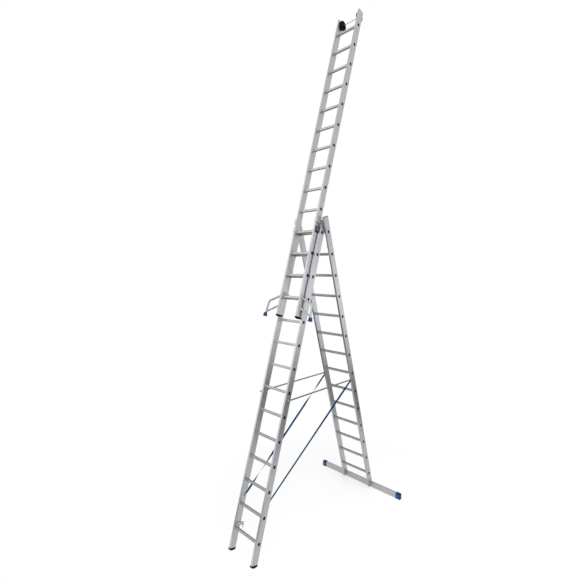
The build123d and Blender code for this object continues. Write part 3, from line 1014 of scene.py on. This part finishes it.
@dataclass
class Wheel:
    """A wall wheel: a rounded, grooved tyre on a dished hub with ribs."""

    side: Side
    stance: Stance
    radius: float = 0.0605
    width: float = 0.026
    bore: float = 0.0051
    segments: int = 72
    axle_r: float = 0.029
    axle_s: float = 3.797
    inside: float = 0.118
    hub: float = 0.014
    dish: float = 0.0075
    rim: float = 0.0445
    round_by: float = 0.006
    groove: float = 0.0016
    ribs: int = 8

    # share of the dish's depth at the hub's foot
    DISH_START = 0.8
    HUB_FLARE = 0.0025
    RIM_FLARE = 0.0045
    # depth and width
    RIM_LIP = (0.0015, 0.0025)
    # share of the rounding that its middle point stands in
    ROUND_MIDDLE = 0.3
    # distance from the middle and share of the depth
    GROOVE = ((0.0045, 0.0), (0.0038, 1.0), (0.0022, 1.0), (0.0015, 0.0))
    # to the hub and to the rim
    RIB_GAP = (0.0005, 0.002)
    RIB_MIDDLE = 0.028
    # at the hub, in the middle and at the rim
    RIB_HALF = (0.0016, 0.0013, 0.0016)
    RIB_HEIGHT = (0.0058, 0.0045, 0.0052)
    RIB_SINK = 0.0003
    RIB_TAPER = 0.6

    def _profile(self) -> list[Point2]:
        """The wheel's outline, one half and its mirror.

        Returns:
            Steps of place along the axle and radius.
        """
        face, top = -self.width / 2, self.radius
        lip_depth, lip_width = self.RIM_LIP
        middle = self.round_by * self.ROUND_MIDDLE
        flank = [
            (face, self.bore),
            (face, self.hub),
            (face + self.dish * self.DISH_START, self.hub + self.HUB_FLARE),
            (face + self.dish, self.rim - self.RIM_FLARE),
            (face + lip_depth, self.rim),
            (face, self.rim + lip_width),
            (face, top - self.round_by),
            (face + middle, top - middle),
            (face + self.round_by, top),
        ]
        flank += [(-x, top - self.groove * depth) for x, depth in self.GROOVE]
        return flank + [(-x, radius) for x, radius in reversed(flank)]

    def build(self, paint: Paintbox) -> None:
        """Makes the wheel about its axle.

        Args:
            paint: the finishes.
        """
        section = self.stance.upper
        middle = section.at(self.side.value * (self.inside + self.width / 2), self.axle_r, self.axle_s)
        carver = Carver()
        rings = []
        for number in range(self.segments):
            around = self._spoke(2 * math.pi * number / self.segments)
            rings.append([middle + X_AXIS * x + around * radius for x, radius in self._profile()])
        carver.loft(rings, closed=True)
        for number in range(self.ribs):
            for face in (-1, 1):
                self._rib(carver, middle, 2 * math.pi * (number + 0.5) / self.ribs, face)
        obj = carver.done(f"wall_wheel_{self.side.word}", smooth=35)
        paint.coat(obj, Coat.RUBBER)
        settle(obj, f"wheel_{self.side.word}", "wheel_rubber", f"wheel_{self.side.word}")

    def _spoke(self, angle: float) -> Vector:
        """The direction out from the axle at an angle."""
        section = self.stance.upper
        return section.rear * math.cos(angle) + section.up * math.sin(angle)

    def _rib(self, carver: Carver, middle: Vector, angle: float, face: int) -> None:
        """One rib in the dish.

        Args:
            carver: the wheel's mesh.
            middle: the wheel's middle.
            angle: the rib's place round the axle.
            face: the side of the wheel, by the sign of x.
        """
        out, across = self._spoke(angle), self._spoke(angle + math.pi / 2)
        start = middle + X_AXIS * (face * (self.width / 2 - self.dish - self.RIB_SINK))
        hub_gap, rim_gap = self.RIB_GAP
        radii = (self.hub + hub_gap, self.RIB_MIDDLE, self.rim - rim_gap)
        rings = []
        for radius, half, tall in zip(radii, self.RIB_HALF, self.RIB_HEIGHT):
            crest = half * self.RIB_TAPER
            corners = ((-half, 0.0), (half, 0.0), (crest, tall), (-crest, tall))
            rings.append([start + out * radius + across * x + X_AXIS * (face * y) for x, y in corners])
        carver.loft(rings)


@dataclass
class Hardware:
    """Screws, rivets and root plates that hold the fittings, one piece for each section."""

    stance: Stance
    head: float = 0.0065
    rise: float = 0.0042
    washer: float = 0.0013
    rivet: float = 0.0046
    bracket: float = 0.003
    clamp: float = 0.006
    block_front: float = -0.080
    block_middle: float = 0.015
    outrigger_r: float = -0.0305
    outrigger_roots: tuple[float, float] = (0.015, -0.107)
    plate_half: tuple[float, float] = (0.0125, 0.029)
    plate_corner: float = 0.008
    plate_sheet: float = 0.0022
    plate_rivet: float = 0.0215

    # share of the head's radius
    WASHER_RIM = 1.35
    HEAD_TOP = 0.84
    # share of the washer's thickness
    WASHER_FLAT = 0.7
    HEAD_BEVEL = 0.0008
    SHEET_BEVEL = 0.0005
    # places r and s, or s alone, in the section's coordinates
    BRACKET_RIVETS = ((-0.024, 3.684), (0.006, 3.684), (-0.024, 3.716))
    BLOCK_SCREWS = (3.650, 3.690)
    FRONT_CLAMP_SCREW = (0.010, 0.378)
    REAR_CLAMP_SCREW = 1.5975
    BEAM_SCREWS = (-0.182, -0.208)
    # height and share of the radius
    RIVET_DOME = ((0.0, 1.0), (0.0006, 1.0), (0.0013, 0.85), (0.0018, 0.55), (0.0019, 0.4), (0.0011, 0.3))

    def _hex(self, carver: Carver, where: Vector, out: Vector) -> None:
        """A hexagon head on its washer.

        Args:
            carver: the piece's mesh.
            where: the middle of its seat.
            out: the direction that it faces.
        """
        rim, flat = self.head * self.WASHER_RIM, self.washer * self.WASHER_FLAT
        washer = [(0.0, rim), (flat, rim), (self.washer, rim - self.SHEET_BEVEL)]
        carver.turned(where, out, washer, sides=20)
        top = self.washer + self.rise
        head = [(self.washer, self.head), (top - self.HEAD_BEVEL, self.head)]
        head.append((top, self.head * self.HEAD_TOP))
        carver.turned(where, out, head, sides=6)

    def _rivet(self, carver: Carver, where: Vector, out: Vector) -> None:
        """A domed rivet head with its mandrel hole."""
        dome = [(height, share * self.rivet) for height, share in self.RIVET_DOME]
        carver.turned(where, out, dome, sides=16)

    def _plate(self, carver: Carver, side: Side, s: float) -> None:
        """A root plate round an outrigger tube, with a rivet above and below it.

        Args:
            carver: the piece's mesh.
            side: the side of the ladder.
            s: the tube's height on the stile.
        """
        upper, sheet, bevel = self.stance.upper, self.plate_sheet, self.SHEET_BEVEL
        half_r, half_s = self.plate_half
        rings = []
        for height, inset in ((0.0, 0.0), (sheet - bevel, 0.0), (sheet, bevel)):
            x = side.value * (upper.outer + height)
            outline = soft_rectangle(half_r - inset, half_s - inset, self.plate_corner, steps=4)
            rings.append([upper.at(x, self.outrigger_r + r, s + up) for r, up in outline])
        carver.loft(rings)
        for step in (-self.plate_rivet, self.plate_rivet):
            seat = upper.at(side.value * (upper.outer + sheet), self.outrigger_r, s + step)
            self._rivet(carver, seat, X_AXIS * side.value)

    def build(self, paint: Paintbox) -> None:
        """Makes the hardware of all sections.

        Args:
            paint: the finishes.
        """
        for name, fill in (("front", self._front), ("rear", self._rear), ("upper", self._upper)):
            carver = Carver()
            for side in Side:
                fill(carver, side)
            obj = carver.done(f"{name}_hardware", smooth=30)
            paint.coat(obj, Coat.ZINC)
            settle(obj, f"{name}_section", "steel")

    def _front(self, carver: Carver, side: Side) -> None:
        """Rivets of a guide bracket and screws of a guide block and a clamp.

        Args:
            carver: the piece's mesh.
            side: the side of the ladder.
        """
        front, sign = self.stance.front, side.value
        inward = X_AXIS * -sign
        for r, s in self.BRACKET_RIVETS:
            self._rivet(carver, front.at(sign * (front.inner - self.bracket), r, s), inward)
        for s in self.BLOCK_SCREWS:
            seat = front.at(sign * (front.outer - self.block_middle), self.block_front, s)
            self._hex(carver, seat, front.rear * -1)
        seat = front.at(sign * (front.inner - self.clamp), *self.FRONT_CLAMP_SCREW)
        self._hex(carver, seat, inward)

    def _rear(self, carver: Carver, side: Side) -> None:
        """Screws of the cross beam and of a strap clamp.

        Args:
            carver: the piece's mesh.
            side: the side of the ladder.
        """
        rear = self.stance.rear
        middle = side.value * (rear.outer - Section.STILE / 2)
        front_face = -Section.DEPTH / 2
        seats = [rear.at(middle, front_face, s) for s in self.BEAM_SCREWS]
        seats.append(rear.at(middle, front_face - self.clamp, self.REAR_CLAMP_SCREW))
        for seat in seats:
            self._hex(carver, seat, rear.rear * -1)

    def _upper(self, carver: Carver, side: Side) -> None:
        """Root plates of an outrigger's two tubes."""
        for s in self.outrigger_roots:
            self._plate(carver, side, s)


@dataclass
class Mouldings:
    """Raised panels on the cross beam's caps and beads round the outriggers' pads."""

    stance: Stance
    inset: float = 0.013
    rise: float = 0.0016
    corner: float = 0.007
    pad_x: float = 0.374
    pad_r: float = -0.0305
    pad_top: float = -0.223
    pad_bottom: float = -0.271
    pad_top_half: Point2 = (0.0155, 0.0155)
    pad_bottom_half: Point2 = (0.024, 0.018)
    bead: float = 0.0014
    bead_half: float = 0.003
    beads: int = 3

    # height and inset, as shares of the rise
    PANEL_STEPS = ((-1.0, 0.0), (0.5, 0.0), (1.0, 0.6))
    # inset above and below a panel, as a share of the inset beside it
    PANEL_ENDS = 1.5
    # above the first bead and below the last, in steps from bead to bead
    BEAD_GAP = 0.8
    BEAD_SINK = -0.001
    BEAD_CORNER = 0.0045

    def build(self, paint: Paintbox) -> None:
        """Makes the panels and the beads of both sides.

        Args:
            paint: the finishes.
        """
        for side in Side:
            panels = Carver()
            self._panels(panels, side)
            obj = panels.done(f"beam_cap_panels_{side.word}", smooth=30)
            paint.coat(obj, Coat.BLUE)
            settle(obj, "rear_section", "blue_plastic")
            beads = Carver(self.stance.upper.matrix)
            span = self.beads - 1 + 2 * self.BEAD_GAP
            for number in range(self.beads):
                self._bead(beads, side, (number + self.BEAD_GAP) / span)
            obj = beads.done(f"outrigger_pad_beads_{side.word}", smooth=40)
            paint.coat(obj, Coat.PAD)
            settle(obj, "upper_section", "blue_plastic")

    def _panels(self, carver: Carver, side: Side) -> None:
        """Panels on a beam cap's front, rear and end faces.

        Args:
            carver: the piece's mesh.
            side: the side of the ladder.
        """
        low, high = (Vector(corner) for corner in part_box(f"traverse_cap_{side.word}"))
        middle, half = (low + high) / 2, (high - low) / 2
        y_axis, up = Vector((0, 1, 0)), Vector((0, 0, 1))
        faces = [(X_AXIS * side.value, y_axis, half.x, half.y)]
        faces += [(y_axis * sign, X_AXIS, half.y, half.x) for sign in (-1, 1)]
        tall = half.z - self.inset * self.PANEL_ENDS
        for out, across, reach, breadth in faces:
            wide = breadth - self.inset
            rings = []
            for height, inset in self.PANEL_STEPS:
                ease = self.rise * inset
                outline = soft_rectangle(wide - ease, tall - ease, self.corner - ease, steps=4)
                seat = middle + out * (reach + self.rise * height)
                rings.append([seat + across * x + up * z for x, z in outline])
            carver.loft(rings)

    def _bead(self, carver: Carver, side: Side, share: float) -> None:
        """One moulded bead round a pad.

        Args:
            carver: the piece's mesh, in the upper section's coordinates.
            side: the side of the ladder.
            share: its place from the pad's top to its bottom.
        """
        s = self.pad_top + (self.pad_bottom - self.pad_top) * share
        ends = zip(self.pad_top_half, self.pad_bottom_half)
        half_x, half_r = (top + (bottom - top) * share for top, bottom in ends)
        sink, crest = self.BEAD_SINK, self.bead
        rings = []
        for step, grow in ((-1.0, sink), (-0.5, crest), (0.5, crest), (1.0, sink)):
            middle = Vector((side.value * self.pad_x, self.pad_r, s + step * self.bead_half))
            outline = soft_rectangle(half_x + grow, half_r + grow, self.BEAD_CORNER, steps=3)
            rings.append([middle + Vector((x, r, 0.0)) for x, r in outline])
        carver.loft(rings)


def flat_sheet(name: str, points: Sequence[Point3], faces: Sequence[Sequence[int]]) -> bpy.types.Object:
    """A flat sheet for the stage.

    Args:
        name: its name.
        points: its corners.
        faces: the numbers of each face's corners.

    Returns:
        The sheet, linked to the scene.
    """
    mesh = bpy.data.meshes.new(name)
    mesh.from_pydata(points, [], faces)
    sheet = bpy.data.objects.new(name, mesh)
    bpy.context.scene.collection.objects.link(sheet)
    return sheet


@dataclass(frozen=True)
class Lamp:
    """A square soft lamp of a side in metres and a power in watts, which metal mirrors or not."""

    name: str
    place: Point3
    aim: Point3
    size: float
    power: float
    mirrored: bool

    def hang(self) -> None:
        """Puts the lamp in the scene."""
        data = bpy.data.lights.new(self.name, "AREA")
        data.size = self.size
        data.energy = self.power
        lamp = bpy.data.objects.new(self.name, data)
        lamp.location = self.place
        lamp.visible_camera = False
        lamp.visible_glossy = self.mirrored
        lamp.rotation_euler = (Vector(self.aim) - Vector(self.place)).to_track_quat("-Z", "Y").to_euler()
        bpy.context.scene.collection.objects.link(lamp)


@dataclass
class Studio:
    """A plain pale floor, soft light and a camera at the photograph's angle."""

    lens: float = 24.178
    sensor: float = 36.0
    shift: Point2 = (0.0285, 0.0231)
    eye: Point3 = (3.2353, -3.8127, 3.2978)
    heading: float = 45.852
    pitch: float = -5.145
    ambient: float = 0.5
    floor_half: float = 60.0
    floor_grey: float = 0.97
    lift_near: float = 0.50
    fade: Point2 = (0.9, 2.3)
    fade_middle: float = 0.9
    ring: tuple[Point2, Point2] = ((2.2, 3.4), (7.1, 7.1))
    ring_middle: float = 1.3
    ring_sides: int = 64
    ring_lift: float = 0.02
    ring_grey: Colour = (0.07, 0.07, 0.073)

    LAMPS = (
        Lamp("key", (7.0, -2.5, 9.0), (0.0, 0.0, 3.2), size=8.0, power=600.0, mirrored=False),
        Lamp("key_sheen", (7.0, -2.5, 9.0), (0.0, 0.0, 3.2), size=10.0, power=210.0, mirrored=True),
        Lamp("front_fill", (-5.0, -5.5, 7.5), (0.0, 0.0, 3.8), size=5.0, power=65.0, mirrored=True),
        Lamp("high_front", (6.1, -5.8, 7.2), (0.2, -0.2, 3.4), size=4.0, power=90.0, mirrored=True),
        Lamp("top", (0.0, 1.0, 12.0), (0.0, 0.0, 3.0), size=6.0, power=300.0, mirrored=False),
        Lamp("rear_side", (8.2, 10.0, 2.1), (0.2, -0.2, 3.0), size=2.6, power=26.0, mirrored=True),
    )

    def build(self) -> None:
        """Makes the floor, the white surroundings, the lamps and the camera."""
        bpy.context.scene.view_settings.view_transform = "Standard"
        self._floor()
        self._world()
        for lamp in self.LAMPS:
            lamp.hang()
        self._surround()
        self._camera()

    def _seen(self, board: Board) -> Wire:
        """Tells what is looked at from what gives light.

        Args:
            board: the tree of the floor or of the world.

        Returns:
            1 for a ray from the camera, a mirror or a glass, and 0 for light that falls on a surface.
        """
        path = board.add("ShaderNodeLightPath", {}, {})
        shiny = board.out(path, "Is Glossy Ray").or_more(board.out(path, "Is Transmission Ray"))
        return shiny.or_more(board.out(path, "Is Camera Ray"))

    def _floor(self) -> None:
        """A wide pale floor that keeps a faint shadow near the ladder and is white further out."""
        half = self.floor_half
        corners = [(-half, -half, 0.0), (half, -half, 0.0), (half, half, 0.0), (-half, half, 0.0)]
        floor = flat_sheet("floor", corners, [(0, 1, 2, 3)])
        board = Board(bpy.data.materials.new("pale_floor"))
        apart = board.vector("DISTANCE", board.own(), (0.0, self.fade_middle, 0.0), "Value")
        lift = self._seen(board) * (self.lift_near + apart.between(*self.fade) * (1 - self.lift_near))
        paint = board.add("ShaderNodeBsdfDiffuse", {}, {"Color": rgba((self.floor_grey,) * 3)})
        white = board.add("ShaderNodeEmission", {}, {"Color": WHITE, "Strength": 1.0})
        inputs = {0: lift, 1: board.out(paint, "BSDF"), 2: board.out(white, "Emission")}
        both = board.add("ShaderNodeMixShader", {}, inputs)
        board.add("ShaderNodeOutputMaterial", {}, {"Surface": board.out(both, "Shader")})
        floor.data.materials.append(board.owner)

    def _surround(self) -> None:
        """A dark ring round the pale floor, which only shiny metal sees and which gives it depth."""
        count = self.ring_sides
        angles = [2 * math.pi * number / count for number in range(count)]
        points = []
        for wide, deep in self.ring:
            for angle in angles:
                y = self.ring_middle + deep * math.sin(angle)
                points.append((wide * math.cos(angle), y, self.ring_lift))
        afters = [(number + 1) % count for number in range(count)]
        faces = [(number, count + number, count + after, after) for number, after in enumerate(afters)]
        surround = flat_sheet("surround", points, faces)
        board = Board(bpy.data.materials.new("surround_cloth"))
        cloth = board.add("ShaderNodeBsdfDiffuse", {}, {"Color": rgba(self.ring_grey)})
        board.add("ShaderNodeOutputMaterial", {}, {"Surface": board.out(cloth, "BSDF")})
        surround.data.materials.append(board.owner)
        for ray in ("camera", "diffuse", "transmission", "volume_scatter", "shadow"):
            setattr(surround, f"visible_{ray}", False)

    def _world(self) -> None:
        """White to the camera and in reflections, softer as light."""
        world = bpy.data.worlds.new("studio")
        board = Board(world)
        strength = self.ambient + self._seen(board) * (1 - self.ambient)
        back = board.add("ShaderNodeBackground", {}, {"Color": WHITE, "Strength": strength})
        board.add("ShaderNodeOutputWorld", {}, {"Surface": board.out(back, "Background")})
        bpy.context.scene.world = world

    def _camera(self) -> None:
        """The camera, which the scene then uses."""
        data = bpy.data.cameras.new("photo_angle")
        data.sensor_width = self.sensor
        data.lens = self.lens
        data.shift_x, data.shift_y = self.shift
        camera = bpy.data.objects.new("photo_angle", data)
        camera.location = self.eye
        camera.rotation_euler = (math.radians(UPRIGHT + self.pitch), 0.0, math.radians(self.heading))
        bpy.context.scene.collection.objects.link(camera)
        bpy.context.scene.camera = camera


NODE_COATS: dict[str, Coat] = {
    "front_stile": Coat.FRONT_STILE,
    "rear_stile": Coat.REAR_STILE,
    "upper_stile": Coat.UPPER_STILE,
    "upper_top_caps": Coat.GREY,
    "top_caps": Coat.BLACK,
    "foot": Coat.RUBBER,
    "guide_bracket": Coat.BRACKET,
    "guide_block": Coat.DARK,
    "spacers": Coat.DARK,
    "traverse_bar": Coat.BEAM,
    "traverse_cap": Coat.NAVY,
    "outrigger_pad": Coat.PAD,
    "outrigger": Coat.TUBE,
    "spreader_bar": Coat.BAR,
    "rungs": Coat.RUNG,
    "plugs": Coat.BLACK,
    "wheel_axle": Coat.ZINC,
    "wheel": Coat.RUBBER,
    "strap_clamps": Coat.ZINC,
    "strap": Coat.WEBBING,
}


def coat_nodes(paint: Paintbox) -> None:
    """Gives every CAD node the finish of the first name that its own name holds, or else bare steel."""
    for name, obj in frame["nodes"].items():
        paint.coat(obj, next((coat for part, coat in NODE_COATS.items() if part in name), Coat.ZINC))


# place along the band from 0 to 1 and twist in degrees
STRAP_TURNS: dict[Side, Sequence[Point2]] = {
    Side.LEFT: (
        (0.0, 0.0), (0.035, -40.0), (0.16, 42.0), (0.36, 132.0),
        (0.68, 132.0), (0.82, 222.0), (0.93, 280.0), (1.0, 270.0),
    ),
    Side.RIGHT: ((0.0, 0.0), (0.4, -8.0), (0.8, -30.0), (1.0, -90.0)),
}


def main() -> None:
    """Builds the ladder's dress, piece by piece."""
    logging.basicConfig(level=logging.INFO, format="%(message)s")
    stance = Stance()
    Studio().build()
    paint = Paintbox()
    coat_nodes(paint)
    for side in Side:
        Strap(side, stance, STRAP_TURNS[side]).build(paint)
        Wheel(side, stance).build(paint)
    for name, section in stance.named().items():
        rungs = RungSet(name, section)
        rungs.build_rungs(paint)
        rungs.build_plugs(paint)
    Hardware(stance).build(paint)
    Mouldings(stance).build(paint)


if __name__ == "__main__":
    main()
